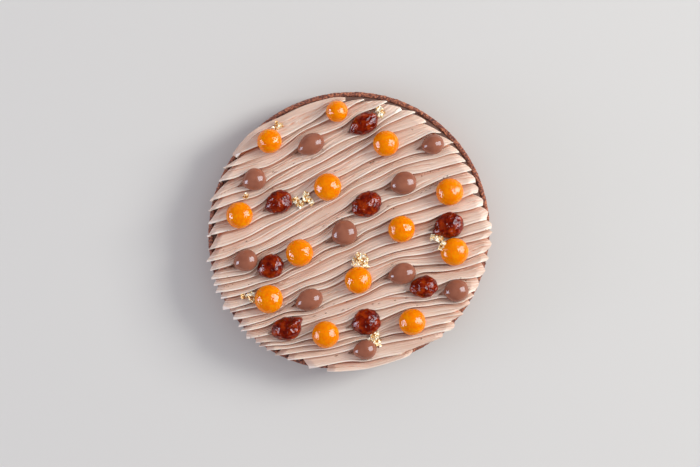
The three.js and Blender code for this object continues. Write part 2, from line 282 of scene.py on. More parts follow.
def makeLights():
    for name, (azimuth, elevation, distance, sizeX, sizeY, power, colour, lights, shines) in lamps.items():
        a, e = math.radians(azimuth), math.radians(elevation)
        away = Vector((math.cos(a) * math.cos(e), math.sin(a) * math.cos(e), math.sin(e)))
        bpy.ops.object.light_add(type="AREA", location=away * distance * mm)
        lamp = bpy.context.object
        lamp.name = name
        lamp.rotation_euler = away.to_track_quat("Z", "Y").to_euler()
        lamp.data.shape = "RECTANGLE"
        lamp.data.size = sizeX * mm
        lamp.data.size_y = sizeY * mm
        lamp.data.energy = power
        lamp.data.color = colour
        lamp.visible_diffuse = lights
        lamp.visible_glossy = shines
    world = bpy.data.worlds.new("studio")
    world.use_nodes = True
    tree = world.node_tree
    background = tree.nodes["Background"]
    background.inputs["Color"].default_value = room["colour"]
    glossy = addNode(tree, "ShaderNodeLightPath").outputs["Is Glossy Ray"]
    inputs = {0: glossy, 2: room["light"], 3: room["mirrored"]}
    strength = addNode(tree, "ShaderNodeMix", inputs, data_type="FLOAT").outputs[0]
    tree.links.new(strength, background.inputs["Strength"])
    bpy.context.scene.world = world
    bpy.context.scene.view_settings.view_transform = "Standard"


def makeFloor():
    bpy.ops.mesh.primitive_plane_add(size=room["floorSize"] * mm)
    floor = bpy.context.object
    floor.name = "floor"
    look, _, shader = newMaterial("paleFloor")
    shader.inputs["Base Color"].default_value = room["floorColour"]
    shader.inputs["Roughness"].default_value = room["floorRoughness"]
    floor.data.materials.append(look)


# painted highlight on the crests and red-brown painted shade in the hollows, with fine streaks along the
# ribbons
def creamLook():
    look, tree, shader = newMaterial("milkChocolateCream")
    along = addNode(tree, "ShaderNodeUVMap", uv_map="ribbonMap").outputs["UV"]
    # the ribbonShade layer holds the painted highlight mask in X and the painted shade mask in Y
    shade = addNode(tree, "ShaderNodeUVMap", uv_map="ribbonShade").outputs["UV"]
    shade = addNode(tree, "ShaderNodeSeparateXYZ", {"Vector": shade}).outputs
    place = objectPlace(tree)
    patches = noiseOf(tree, place, {"Scale": 45.0, "Detail": 2.0})
    face = ramp(tree, patches, [(0.3, (0.70, 0.49, 0.375)), (0.7, (0.80, 0.605, 0.488))])
    # the pale crest colour is a painted highlight
    crest = mixColours(tree, shade["X"], face, (0.91, 0.81, 0.705, 1))
    # the red-brown colour is painted shade, for the hollows and the drops' pockets
    hollowPaintedShade = mixColours(tree, shade["Y"], crest, (0.62, 0.205, 0.09, 1))
    drawnOut = addNode(tree, "ShaderNodeMapping", {"Vector": along, "Scale": (0.035, 1.1, 1)}).outputs[0]
    fibres = noiseOf(tree, drawnOut, {"Scale": 1.0, "Detail": 3.0, "Roughness": 0.65})
    fibreTone = ramp(tree, fibres, [(0.32, (0.80, 0.72, 0.66)), (0.6, (1.0, 1.0, 1.0))])
    tree.links.new(mixColours(tree, 0.75, hollowPaintedShade, fibreTone, "MULTIPLY"), shader.inputs["Base Color"])
    grain = noiseOf(tree, place, {"Scale": 900.0, "Detail": 3.0})
    fibreBump = addNode(tree, "ShaderNodeBump", {"Height": fibres, "Distance": 0.0008, "Strength": 0.8})
    grainBump = addNode(tree, "ShaderNodeBump", {
        "Height": grain, "Distance": 0.0002, "Strength": 0.25, "Normal": fibreBump.outputs["Normal"]})
    tree.links.new(grainBump.outputs["Normal"], shader.inputs["Normal"])
    shader.inputs["Roughness"].default_value = 0.5
    shader.inputs["Subsurface Weight"].default_value = 0.12
    shader.inputs["Subsurface Radius"].default_value = (1.0, 0.6, 0.4)
    shader.inputs["Subsurface Scale"].default_value = 0.001
    return look


def orangeLook():
    look, tree, shader = newMaterial("orangeGel")
    cloud = noiseOf(tree, objectPlace(tree), {"Scale": 260.0, "Detail": 3.0})
    tone = ramp(tree, cloud, [(0.35, (0.78, 0.205, 0.0)), (0.62, (0.83, 0.262, 0.0))])
    tree.links.new(tone, shader.inputs["Base Color"])
    _, dimples = uneven(tree, scale=600.0, detail=1.5, distance=0.0006, strength=0.6)
    tree.links.new(dimples, shader.inputs["Normal"])
    shader.inputs["Roughness"].default_value = 0.035
    shader.inputs["Subsurface Weight"].default_value = 0.7
    shader.inputs["Subsurface Radius"].default_value = (1.0, 0.35, 0.05)
    shader.inputs["Subsurface Scale"].default_value = 0.004
    return look


def milkLook():
    look, tree, shader = newMaterial("milkChocolate")
    cloud, bump = uneven(tree, scale=150.0, detail=4.0, distance=0.0006, strength=0.12)
    tone = ramp(tree, cloud, [(0.3, (0.25, 0.085, 0.05)), (0.7, (0.33, 0.123, 0.073))])
    tree.links.new(tone, shader.inputs["Base Color"])
    tree.links.new(bump, shader.inputs["Normal"])
    shader.inputs["Roughness"].default_value = 0.12
    return look


def darkLook():
    look, tree, shader = newMaterial("darkCaramel")
    cloud = noiseOf(tree, objectPlace(tree), {"Scale": 260.0, "Detail": 3.0})
    tone = ramp(tree, cloud, [
        (0.35, (0.085, 0.002, 0.0)),
        (0.5, (0.18, 0.009, 0.0)),
        (0.68, (0.34, 0.037, 0.001)),
    ])
    tree.links.new(tone, shader.inputs["Base Color"])
    _, wrinkles = uneven(tree, scale=330.0, detail=2.0, distance=0.001, strength=0.8, distortion=0.9)
    tree.links.new(wrinkles, shader.inputs["Normal"])
    shader.inputs["Roughness"].default_value = 0.12
    shader.inputs["Subsurface Weight"].default_value = 0.3
    shader.inputs["Subsurface Radius"].default_value = (1.0, 0.12, 0.03)
    shader.inputs["Subsurface Scale"].default_value = 0.003
    return look


def goldLook():
    look, tree, shader = newMaterial("goldLeafMetal")
    creases, bump = uneven(tree, scale=500.0, detail=2.0, distance=0.0004, strength=0.6)
    # the ramp paints shade into the creases in dark orange-brown and a painted highlight on the raised folds
    # in near white, around the gold's own colour between them
    tone = ramp(tree, creases, [
        (0.34, (0.34, 0.11, 0.02)),
        (0.43, (0.86, 0.45, 0.12)),
        (0.51, (0.95, 0.78, 0.46)),
        (0.62, (1.0, 0.95, 0.8)),
    ])
    tree.links.new(tone, shader.inputs["Base Color"])
    tree.links.new(bump, shader.inputs["Normal"])
    shader.inputs["Metallic"].default_value = 0.25
    shader.inputs["Roughness"].default_value = 0.22
    return look


def crustLook():
    look, tree, shader = newMaterial("cocoaCrust")
    crumbs, bump = uneven(tree, scale=700.0, detail=5.0, distance=0.0012, strength=0.7, roughness=0.65)
    tone = ramp(tree, crumbs, [
        (0.36, (0.07, 0.02, 0.014)),
        (0.48, (0.23, 0.062, 0.034)),
        (0.6, (0.52, 0.18, 0.085)),
    ])
    tree.links.new(tone, shader.inputs["Base Color"])
    tree.links.new(bump, shader.inputs["Normal"])
    shader.inputs["Roughness"].default_value = 0.8
    return look


def ganacheLook():
    look, tree, shader = newMaterial("ganache")
    cloud = noiseOf(tree, objectPlace(tree), {"Scale": 200.0, "Detail": 3.0})
    tone = ramp(tree, cloud, [(0.3, (0.15, 0.07, 0.05)), (0.7, (0.20, 0.10, 0.07))])
    tree.links.new(tone, shader.inputs["Base Color"])
    shader.inputs["Roughness"].default_value = 0.4
    return look


# "push" and the rest say how far a drop parts the ribbons, and how deep and how long its pocket is
dropKinds = {
    "orangeDrop": {
        "count": 13, "oval": 0, "slot": "orange gel",
        "lump": 0.16, "lumpSize": 3.0, "tail": 0.0,
        "push": 0.25, "pocketDepth": 0, "pocketReach": 1.3,
    },
    "milkDrop": {
        "count": 10, "oval": 1, "slot": "milk chocolate",
        "lump": 0.16, "lumpSize": 6.0, "tail": 0.19,
        "push": 0.4, "pocketDepth": 2.2, "pocketReach": 1.6,
    },
    "darkDrop": {
        "count": 8, "oval": 1, "slot": "dark caramel",
        "lump": 0.8, "lumpSize": 2.8, "tail": 0.16,
        "push": 0.36, "pocketDepth": 1.9, "pocketReach": 1.5,
    },
}
lobes = {"darkDrop7": (40, 0.3), "darkDrop4": (212, 0.22)}  # a small lobe's azimuth and its length in radii
bead = {
    "segments": 56,
    "rings": 32,
    "grow": 1.02,  # the solids' flat faces lie a little inside the round drop
    "tailSharp": 4,
    "tailLess": 0.4,  # what a tail takes from the rest of its drop
    "tailShift": 0.5,
    "lobeWide": 0.3,
    "seedStep": (7.3, 2.1),
}


# each drop's kind, place, turn and half sizes along and across the ribbons, worked out from its node's box
def findDrops():
    drops = []
    for kind, facts in dropKinds.items():
        for i in range(1, facts["count"] + 1):
            low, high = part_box(f"{kind}{i}")
            low, high = Vector(low) / mm, Vector(high) / mm
            middle, half = (low + high) / 2, (high - low) / 2
            turn = float(flowAngle(middle.x, middle.y))
            total = half.x ** 2 + half.y ** 2
            longer = facts["oval"] * (half.x ** 2 - half.y ** 2) / math.cos(2 * turn)
            along, across = math.sqrt((total + longer) / 2), math.sqrt((total - longer) / 2)
            drops.append({"node": f"{kind}{i}", "kind": kind, "middle": middle, "turn": turn,
                          "along": along, "across": across, "radius": (along + across) / 2, "high": half.z})
    return drops


def makeDrops(drops, looks):
    for i, drop in enumerate(drops):
        facts = dropKinds[drop["kind"]]
        deselectAll()
        bpy.ops.mesh.primitive_uv_sphere_add(segments=bead["segments"], ring_count=bead["rings"], radius=1)
        piece = bpy.context.object
        piece.name = drop["node"].replace("Drop", "Bead")
        seed = Vector((bead["seedStep"][0] * i, bead["seedStep"][1] * i, 0))
        size = drop["radius"] * bead["grow"]
        turn = drop["turn"]
        lobeAt, lobeLong = lobes.get(drop["node"], (0, 0))
        lobeAt = math.radians(lobeAt) - turn
        for vertex in piece.data.vertices:
            p = vertex.co.copy()
            around = math.atan2(p.y, p.x)
            tail = facts["tail"] * (max(0, -math.cos(around)) ** bead["tailSharp"] - bead["tailLess"])
            lump = noise.noise(p * size / facts["lumpSize"] + seed) * facts["lump"] / size
            fromLobe = math.remainder(around - lobeAt, 2 * math.pi)
            lump += lobeLong * math.exp(-(fromLobe / bead["lobeWide"]) ** 2)
            x = drop["along"] * bead["grow"] * (p.x * (1 + tail + lump) + facts["tail"] * bead["tailShift"])
            y = drop["across"] * bead["grow"] * p.y * (1 + lump)
            z = drop["high"] * p.z * (1 + lump)
            vertex.co = Vector((
                drop["middle"].x + x * math.cos(turn) - y * math.sin(turn),
                drop["middle"].y + x * math.sin(turn) + y * math.cos(turn),
                drop["middle"].z + z)) * mm
        settle(piece, looks[drop["kind"]], drop["node"])


cream = {
    "ribbons": 27,
    "near": -87.3,  # first and last edge along the axis that crosses the ribbons
    "far": 86.6,
    "firstWidths": [5.6, 7.2],  # widths before they are evened out
    "nearWidth": 5.8,
    "farWidth": 6.7,
    "lastWidth": 10.2,
    "uneven": 0.3,
    "underside": 20.3,
    "underCut": 0.98,
    "lowest": 21.4,
    "crest": 27.2,
    "face": 26.0,
    "valley": 24.0,
    "fadedValley": 0.2,  # depth under the face of a valley where the next crest fades out
    "lift": 0.45,
    "faceLift": 0.3,
    "faceFall": 1.7,
    "footFrom": 1,  # rows deeper than this under the crest are its foot
    "faceStart": 1.4,
    "faceRows": 16,
    "faceEnd": 0.15,
    "underNext": 0.75,  # how far a face runs on under the next crest
    "underNextFall": 1.1,
    "outerEdge": 0.1,
    "outerEdgeFall": 1.3,
    "sway": 0.22,
    "notchLeft": 5.6,  # how far the valleys stay back from the tips
    "notchRight": 4.2,
    "tipUneven": 2.6,
    "taper": 6,
    "taperFrom": 0.5,
    "taperPower": 0.7,
    "tipHeight": 0.4,
    "firstEnds": [5.0, 3.8],  # how far the first ribbon's inner line stays back at its ends
    "lastEnds": [3.4, 2.4],  # and the last one's
    "flushFrom": 13,  # from this ribbon on the right ends run along the rim, with small notches
    "flushWithin": 4,
    "flushLean": 0.85,
    "flushNotch": 0.6,
    "roundEnd": 2.6,  # degrees by which the first ribbon's right end is rounded off
    "roundPower": 2.5,
    "calmEnd": 6,  # a ribbon sways less this near to its ends
    "firmEnd": 5,  # and gives way less to the drops
    "stations": 262,
    "crowdEnds": 0.4,  # stations are closer together near the ends
    "splitAt": 13,
    "smoothTo": 60,  # edges sharper than this many degrees stay sharp
    "widthSeed": 11,
    "traitSeed": 23,
}
# The thin crest of a ribbon, from its foot under the overhang to where its face starts:
# distance from the crest line and depth below the crest
crestRows = [
    (0.95, 4.0), (0.45, 2.5), (-0.05, 1.3), (-0.4, 0.6), (-0.42, 0.2), (-0.15, 0.0), (0.2, 0.04),
    (0.6, 0.3), (1.0, 0.8),
]
# least and most of what sets one ribbon apart from the next
traitSpans = {
    "fadeAt": (-75, 75),  # where its crest sinks into the face, over what length and how far
    "fadeLong": (7, 16),
    "fadeBy": (-0.8, 0.9),
    "blunt": (0.75, 1.3),
    "notch": (0.65, 1.2),
    "leafAt": (0.2, 0.6),
    "leafRound": (1.0, 1.9),
    "swayWave": (10, 36),
    "liftWave": (9, 45),
    "depth": (-0.7, 0.5),
}
# painted highlight on the crests, and painted shade in the hollows, under the crests' overhangs and in the
# drops' pockets
paintedHighlightAndShade = {
    "crestDepth": 1.1,
    "faceLight": 0.35,
    "faceLightEnd": 5,
    "darkFrom": 0.6,
    "darkFromDepth": 0.15,
    "darkPower": 1.7,
    "pocketPaintedShade": 0.25,
    "unshadedTip": 2,
    "unshadedTipFrom": 0.4,
}
# fine strokes on the faces, with a painted highlight along each stroke's ridge and painted shade at its foot
comb = {
    "height": 1.0,
    "pitch": 2.1,
    "wander": 2.4,
    "wanderCells": (45, 7, 5),  # noise cells' length and width, and their seed
    "patchCells": (26, 3.0, 6),
    "patchFrom": 0.36,
    "patchSoft": 0.25,
    "edgeAt": 0.82,
    "edgeSharp": 5,  # how fast the strokes come up inside a face's edges
    "fallPower": 1.3,
    "level": 0.3,
    # strength and width of the painted highlight on the ridges, then of the painted shade at the feet
    "light": 0.8,
    "paintedHighlightWide": 0.16,
    "dark": 0.75,
    "paintedShadeAt": 0.8,
    "paintedShadeWide": 0.12,
}
# how drops part the ribbons, in radii of the drop
pocket = {"steep": 0.3, "spread": 1.15, "along": 1.12, "wide": 0.5, "ahead": 0.85, "soft": 0.8, "least": 0.01}
trace = {"step": 1.0, "steps": 112}


def ribbonEdges():
    draw = randomFrom(cream["widthSeed"])
    widths = []
    for k in range(cream["ribbons"]):
        even = mix(cream["nearWidth"], cream["farWidth"], k / (cream["ribbons"] - 1))
        if k < len(cream["firstWidths"]):
            widths.append(cream["firstWidths"][k])
        elif k == cream["ribbons"] - 1:
            widths.append(cream["lastWidth"])
        else:
            widths.append(even * (1 + cream["uneven"] * (draw() - 0.5) * 2))
    scale = (cream["far"] - cream["near"]) / sum(widths)
    return np.concatenate([[cream["near"]], cream["near"] + np.cumsum(widths) * scale])


# follows the flow both ways from each place on the cross axis, out to the cream's edge less `back`
def flowLines(along, back):
    axis = math.radians(flow["crossAxis"])
    step, count = trace["step"], trace["steps"]
    sides = []
    for direction, less in ((-1, back[:, 0]), (1, back[:, 1])):
        x, y = along * math.cos(axis), along * math.sin(axis)
        xs, ys = [x], [y]
        for _ in range(count):
            a = flowAngle(x, y)
            a = flowAngle(x + direction * step / 2 * np.cos(a), y + direction * step / 2 * np.sin(a))
            x = x + direction * step * np.cos(a)
            y = y + direction * step * np.sin(a)
            xs.append(x)
            ys.append(y)
        xs, ys = np.array(xs), np.array(ys)
        over = np.hypot(xs, ys) - creamRadius(np.arctan2(ys, xs)) + less
        ends = []
        for row in range(len(along)):
            first = max(1, int(np.argmax(over[:, row] > 0)))
            inner, outer = over[first - 1, row], over[first, row]
            ends.append((first - 1 + float(np.clip(-inner / (outer - inner), 0, 1))) * step)
        sides.append((xs, ys, np.array(ends)))
    (xl, yl, endL), (xr, yr, endR) = sides
    xs = np.concatenate([xl[::-1], xr[1:]])
    ys = np.concatenate([yl[::-1], yr[1:]])
    return xs, ys, count * step - endL, count * step + endR


# how far the drops push the ribbons aside, and how deep their pockets are
def pushed(x, y, drops):
    moveX, moveY, deep = np.zeros_like(x), np.zeros_like(x), np.zeros_like(x)
    for drop in drops:
        facts = dropKinds[drop["kind"]]
        r = drop["radius"]
        c, s = math.cos(drop["turn"]), math.sin(drop["turn"])
        dx, dy = x - drop["middle"].x, y - drop["middle"].y
        along, side = dx * c + dy * s, -dx * s + dy * c
        shift = facts["push"] * r * np.tanh(side / r / pocket["steep"])
        shift = shift * np.exp(-(side / r / pocket["spread"]) ** 2 - (along / r / pocket["along"]) ** 2)
        moveX -= s * shift
        moveY += c * shift
        if facts["pocketDepth"] > 0:
            reach = np.where(along < 0, facts["pocketReach"], pocket["ahead"])
            half = pocket["wide"] * r * np.maximum(0, 1 - (along / r / reach) ** 2)
            share = (1 - np.abs(side + shift) / np.maximum(half, pocket["least"])) / pocket["soft"]
            deep = np.maximum(deep, facts["pocketDepth"] * ease(share))
    return moveX, moveY, deep


# a sum of three waves along a ribbon, from -1 to 1
def waves(draw, span):
    terms = [(mix(*span, draw()), 2 * math.pi * draw(), mix(0.5, 1, draw())) for _ in range(3)]
    total = sum(size for _, _, size in terms)
    return lambda s: sum(size * np.sin(s / length + phase) for length, phase, size in terms) / total


def fadeAlong(at, long, by):
    return lambda s: max(0, by) * np.exp(-((s - at) / long) ** 2)


def ribbonTraits():
    draw = randomFrom(cream["traitSeed"])

    def within(name):
        return mix(*traitSpans[name], draw())

    traits = []
    for _ in range(cream["ribbons"] + 1):
        traits.append({
            "fade": fadeAlong(within("fadeAt"), within("fadeLong"), within("fadeBy")),
            "tips": [cream["tipUneven"] * (draw() - 0.5), cream["tipUneven"] * (draw() - 0.5)],
            "blunt": within("blunt"),
            "notch": within("notch"),
            "leafAt": within("leafAt"),
            "leafRound": within("leafRound"),
            "sway": waves(draw, traitSpans["swayWave"]),
            "lift": waves(draw, traitSpans["liftWave"]),
            "depth": within("depth"),
        })
    return traits


# how far each end of a row stays back from the tips: a slanted cut at the left, a leaf at the right
def endBack(k, own, following, share):
    share = float(np.clip(share, 0, 1))
    if k == 0:
        return cream["firstEnds"]
    if k == cream["ribbons"] - 1:
        return cream["lastEnds"]
    left = cream["notchLeft"] * own["notch"] * share ** own["blunt"]
    flush = float(ease((k - cream["flushFrom"]) / cream["flushWithin"]))
    leafAt = own["leafAt"] * (1 - cream["flushLean"] * flush)
    leaf = abs(share - leafAt) / max(leafAt, 1 - leafAt)
    right = cream["notchRight"] * mix(1, cream["flushNotch"], flush) * leaf ** own["leafRound"]
    return [left + mix(own["tips"][0], following["tips"][0], share),
            right + mix(own["tips"][1], following["tips"][1], share)]


# the grid's rows from the near side to the far one: ribbon, its width, distance from its crest line,
# depth below the crest, and share of the way down the face, which is less than 0 on the crest
def gridRows(edges):
    rows = []
    for k in range(cream["ribbons"]):
        width = edges[k + 1] - edges[k]
        for offset, below in crestRows:
            rows.append((k, width, offset, below, -1))
        for i in range(cream["faceRows"]):
            t = i / (cream["faceRows"] - 1)
            rows.append((k, width, mix(cream["faceStart"], width - cream["faceEnd"], t), 0, t))
        if k < cream["ribbons"] - 1:
            rows.append((k, width, width + cream["underNext"], 0, cream["underNextFall"]))
        else:
            rows.append((k, width, width + cream["outerEdge"], 0, cream["outerEdgeFall"]))
    return rows


# Where each row crosses the axis, its share of the ribbon for the cut at the ends, and how far it is
# drawn out to the rim. Rows of the first and the last ribbon start from the ribbon's inner line.
def rowStarts(rows, edges):
    starts, shares, toRim = np.zeros(len(rows)), np.zeros(len(rows)), np.zeros(len(rows))
    for r, (k, width, offset, _, _) in enumerate(rows):
        starts[r] = edges[k] + max(0, offset)
        shares[r] = max(0, offset) / width
        if k == 0:
            starts[r] = edges[1] + cream["underNext"]
            shares[r] = 1
            toRim[r] = 1 - max(0, offset) / (width + cream["underNext"])
        if k == cream["ribbons"] - 1:
            starts[r] = edges[k]
            shares[r] = 0
            toRim[r] = max(0, offset) / (width + cream["outerEdge"])
    return starts, shares, toRim


# a row's height, shift across the ribbon, and its painted highlight and painted shade, all along its length
def rowSection(s, row, own, following):
    k, width, offset, below, face = row
    fade, fadeNext = own["fade"](s), following["fade"](s)
    level = cream["face"] + cream["faceLift"] * own["lift"](s)
    swing = mix(own["sway"](s), following["sway"](s), float(ease(offset / width)))
    sway = cream["sway"] * width * swing
    if face < 0:
        top = cream["crest"] + cream["lift"] * own["lift"](s)
        height = mix(top - below, level, fade)
        foot = max(0, offset) if below > cream["footFrom"] else 0
        sway = sway + (min(0, offset) - foot * fade) * (1 - fade)
        # painted highlight along the crest, and painted shade on its foot under the overhang
        light = max(0, 1 - below / paintedHighlightAndShade["crestDepth"]) * (1 - fade)
        dark = np.clip(below - cream["footFrom"], 0, 1) * (1 - fade) if k > 0 else 0
        return height, sway, light, dark
    valley = cream["valley"] + following["depth"]
    low = mix(valley, level - cream["fadedValley"], fadeNext) + cream["faceLift"] * following["lift"](s)
    height = mix(level, low, face ** cream["faceFall"])
    sway = sway - max(0, offset - width) * fadeNext
    # painted highlight on the face just behind the crest, and painted shade where the face runs under the
    # next crest
    light = paintedHighlightAndShade["faceLight"] * max(0, 1 - face * paintedHighlightAndShade["faceLightEnd"]) * (1 - fade)
    darkFrom = paintedHighlightAndShade["darkFrom"] + paintedHighlightAndShade["darkFromDepth"] * following["depth"]
    dark = np.clip((face - darkFrom) / (1 - darkFrom), 0, 1) ** paintedHighlightAndShade["darkPower"] * (1 - fadeNext)
    if k == cream["ribbons"] - 1:
        dark = 0
    return height, sway, light, dark


# a row of the first or the last ribbon, drawn out to the cream's edge, and the edge's direction there
def drawnToRim(x, y, t, share, nearSide):
    first, final = np.arctan2(y[0], x[0]), np.arctan2(y[-1], x[-1])
    if nearSide:
        final = final - math.radians(cream["roundEnd"]) * share ** cream["roundPower"]
    azimuth = mix(first, final, t)
    rim = creamRadius(azimuth)
    quarter = math.pi / 2 if nearSide else -math.pi / 2
    return mix(x, rim * np.cos(azimuth), share), mix(y, rim * np.sin(azimuth), share), azimuth + quarter


# height of the strokes on the faces, and the painted highlight and painted shade lines along them
def combStrokes(s, a, faceAt):
    phase = a / comb["pitch"] + comb["wander"] * fibreNoise(s, a, *comb["wanderCells"])
    tooth = phase - np.floor(phase)
    strength = ease((fibreNoise(s, a, *comb["patchCells"]) - comb["patchFrom"]) / comb["patchSoft"])
    strength = strength * np.sqrt(np.clip(comb["edgeSharp"] * faceAt * (1 - faceAt), 0, 1))
    fall = (1 - tooth / comb["edgeAt"]).clip(0) ** comb["fallPower"]
    rise = ease((tooth - comb["edgeAt"]) / (1 - comb["edgeAt"]))
    height = comb["height"] * strength * (np.maximum(fall, rise) - comb["level"])
    fromCrest = np.minimum(tooth, 1 - tooth) / comb["paintedHighlightWide"]
    fromHollow = np.abs(tooth - comb["paintedShadeAt"]) / comb["paintedShadeWide"]
    # painted highlight on the stroke's ridge, painted shade in the hollow before its next rise
    light = comb["light"] * strength * np.clip(1 - fromCrest, 0, 1)
    dark = comb["dark"] * strength * np.clip(1 - fromHollow, 0, 1)
    return height, light, dark


# places of the cream's top, row by row, where each is along and across the ribbons, and its painted highlight
# and painted shade
def creamGrid(drops):
    edges, traits = ribbonEdges(), ribbonTraits()
    rows = gridRows(edges)
    starts, shares, toRim = rowStarts(rows, edges)
    back = np.array([endBack(row[0], traits[row[0]], traits[row[0] + 1], share)
                     for row, share in zip(rows, shares)])
    xs, ys, start, stop = flowLines(starts, back)
    t = np.linspace(0, 1, cream["stations"])
    t = t - cream["crowdEnds"] * np.sin(2 * np.pi * t) / (2 * np.pi)
    shape = (len(rows), cream["stations"])
    x, y, z, s, a, fromEnd, light, dark, faceAt = (np.zeros(shape) for _ in range(9))
    index = np.arange(len(xs))
    for r, row in enumerate(rows):
        k, _, offset, _, face = row
        at = mix(start[r], stop[r], t)
        x[r] = np.interp(at, index, xs[:, r])
        y[r] = np.interp(at, index, ys[:, r])
        s[r] = at - trace["steps"]
        a[r] = edges[k] + max(0, offset)
        fromEnd[r] = np.minimum(at - start[r], stop[r] - at)
        faceAt[r] = max(0, face)
        z[r], sway, light[r], dark[r] = rowSection(s[r], row, traits[k], traits[k + 1])
        if offset >= 0:
            sway = sway * ease(fromEnd[r] / cream["calmEnd"]) * (1 - toRim[r])
        angle = flowAngle(x[r], y[r])
        if k in (0, cream["ribbons"] - 1):
            x[r], y[r], rimAngle = drawnToRim(x[r], y[r], t, toRim[r], k == 0)
            angle = mix(angle, rimAngle, toRim[r])
        x[r] -= np.sin(angle) * sway
        y[r] += np.cos(angle) * sway
    strokes, strokePaintedHighlight, strokePaintedShade = combStrokes(s, a, faceAt)
    # the strokes' painted highlight and painted shade join the ribbons' own
    light = np.maximum(light, strokePaintedHighlight)
    dark = np.maximum(dark, strokePaintedShade)
    # the painted shade fades out at the very tips
    dark = dark * ease((fromEnd + paintedHighlightAndShade["unshadedTipFrom"]) / paintedHighlightAndShade["unshadedTip"])
    soft = ease(fromEnd / cream["firmEnd"])
    moveX, moveY, deep = pushed(x, y, drops)
    x += moveX * soft
    y += moveY * soft
    # painted shade in the drops' pockets
    dark = np.maximum(dark, paintedHighlightAndShade["pocketPaintedShade"] * deep * soft)
    z = np.maximum(z + strokes - deep * soft, cream["lowest"])
    taper = ease((fromEnd + cream["taperFrom"]) / cream["taper"]) ** cream["taperPower"]
    z = cream["lowest"] + (z - cream["lowest"]) * mix(cream["tipHeight"], 1, taper)
    return np.stack([x, y, z], axis=2), np.stack([s, a], axis=2), np.stack([light, dark], axis=2)


# a grid of these places, with its border drawn down to the underside and closed there
def makeRibbons(name, grid, ribbonMap, ribbonShade, look):
    rows, count, _ = grid.shape
    deselectAll()
    bpy.ops.mesh.primitive_grid_add(x_subdivisions=count - 1, y_subdivisions=rows - 1, size=2)
    piece = bpy.context.object
    piece.name = name
    mesh = piece.data
    flat = np.zeros(len(mesh.vertices) * 3)
    mesh.vertices.foreach_get("co", flat)
    flat = flat.reshape(-1, 3)
    column = np.rint((flat[:, 0] + 1) / 2 * (count - 1)).astype(int)
    row = np.rint((flat[:, 1] + 1) / 2 * (rows - 1)).astype(int)
    mesh.vertices.foreach_set("co", (grid[row, column] * mm).ravel())
    corners = np.zeros(len(mesh.loops), dtype=np.int32)
    mesh.loops.foreach_get("vertex_index", corners)
    mesh.uv_layers.remove(mesh.uv_layers[0])
    for layerName, values in (("ribbonMap", ribbonMap), ("ribbonShade", ribbonShade)):
        layer = mesh.uv_layers.new(name=layerName)
        layer.data.foreach_set("uv", values[row, column][corners].astype(np.float32).ravel())
    bpy.ops.object.mode_set(mode="EDIT")
    bpy.ops.mesh.select_mode(type="EDGE")
    bpy.ops.mesh.select_all(action="DESELECT")
    bpy.ops.mesh.select_non_manifold()
    bpy.ops.mesh.extrude_edges_move()
    bpy.ops.transform.resize(value=(cream["underCut"], cream["underCut"], 0),
                             center_override=(0, 0, cream["underside"] * mm))
    bpy.ops.mesh.select_all(action="DESELECT")
    bpy.ops.object.mode_set(mode="OBJECT")
    aboveOf = {}  # each vertex of the lower border and the one it was drawn from
    for edge in mesh.edges:
        upper, lower = sorted(edge.vertices)
        if upper < rows * count <= lower:
            aboveOf[lower] = upper
    middle = [count // 2 - 1, count // 2]
    for edge in mesh.edges:
        if all(v in aboveOf for v in edge.vertices):
            edge.select = sorted(column[aboveOf[v]] for v in edge.vertices) != middle
    bpy.ops.object.mode_set(mode="EDIT")
    bpy.ops.mesh.bridge_edge_loops()  # the left half of the lower border to the right half
    bpy.ops.mesh.select_all(action="SELECT")
    bpy.ops.mesh.normals_make_consistent(inside=False)
    bpy.ops.object.mode_set(mode="OBJECT")
    settle(piece, look, "cream", cream["smoothTo"])


def makeCream(drops, look):
    places, ribbonMap, ribbonShade = creamGrid(drops)
    half = cream["splitAt"] * (len(crestRows) + cream["faceRows"] + 1)
    for name, part in (("creamNearHalf", slice(None, half)), ("creamFarHalf", slice(half, None))):
        makeRibbons(name, places[part], ribbonMap[part], ribbonShade[part], look)


crust = {
    "around": 720,
    "smoothTo": 50,
    "middle": 0.01,  # radius of its innermost rings
    # rings of its section: distance from the outer wall's line and height over the foot,
    # then the same from the top edge, and from the inner wall's line and the top edge
    "foot": [(-20, 0.0), (-1.0, 0.0), (-0.2, 0.3), (0.0, 1.0)],
    "outerLip": [(-0.05, -1.0), (-0.3, -0.35), (-0.8, -0.1), (-1.5, 0.0)],
    "innerLip": [(0.8, -0.1), (0.25, -0.4), (0.0, -1.0), (0.0, -3.0)],
    "wallFrom": 2.0,  # height of the wall's lowest ring, and how far under the top edge they end
    "wallTo": 1.2,
    "wallStep": 1.0,
    "floor": 3.0,
    "floorRing": 20,
    "roughFrom": 0.5,  # height over the foot, and distance inside the inner wall
    "roughInside": 1,
    "rough": 0.6,
    "roughSize": 2.2,
    "crumb": 0.5,
    "crumbSize": 0.8,
    "lump": 2.2,
    "lumpSize": 2.7,
    "lumpFrom": 0.4,
    "outShare": 0.5,  # the roughness moves the wall by this share, less a little
    "outLess": 0.15,
    "rimZone": 2,  # and lifts the top edge, less a little
    "rimLess": 0.25,
}


def crustSection():
    outer, inner, top = tart["radius"], tart["radius"] - tart["wall"], tart["height"]
    section = [(crust["middle"], 0.0)]
    section += [(outer + out, z) for out, z in crust["foot"]]
    section += [(outer, z) for z in np.arange(crust["wallFrom"], top - crust["wallTo"], crust["wallStep"])]
    section += [(outer + out, top + up) for out, up in crust["outerLip"]]
    section += [(inner + out, top + up) for out, up in crust["innerLip"]]
    section += [(inner, crust["floor"]), (inner - crust["floorRing"], crust["floor"])]
    section += [(crust["middle"], crust["floor"])]
    return section


def crustRoughness(place):
    rough = crust["rough"] * noise.noise(place / crust["roughSize"])
    rough += crust["crumb"] * noise.noise(place / crust["crumbSize"])
    return rough + crust["lump"] * max(0, noise.noise(place / crust["lumpSize"]) - crust["lumpFrom"])


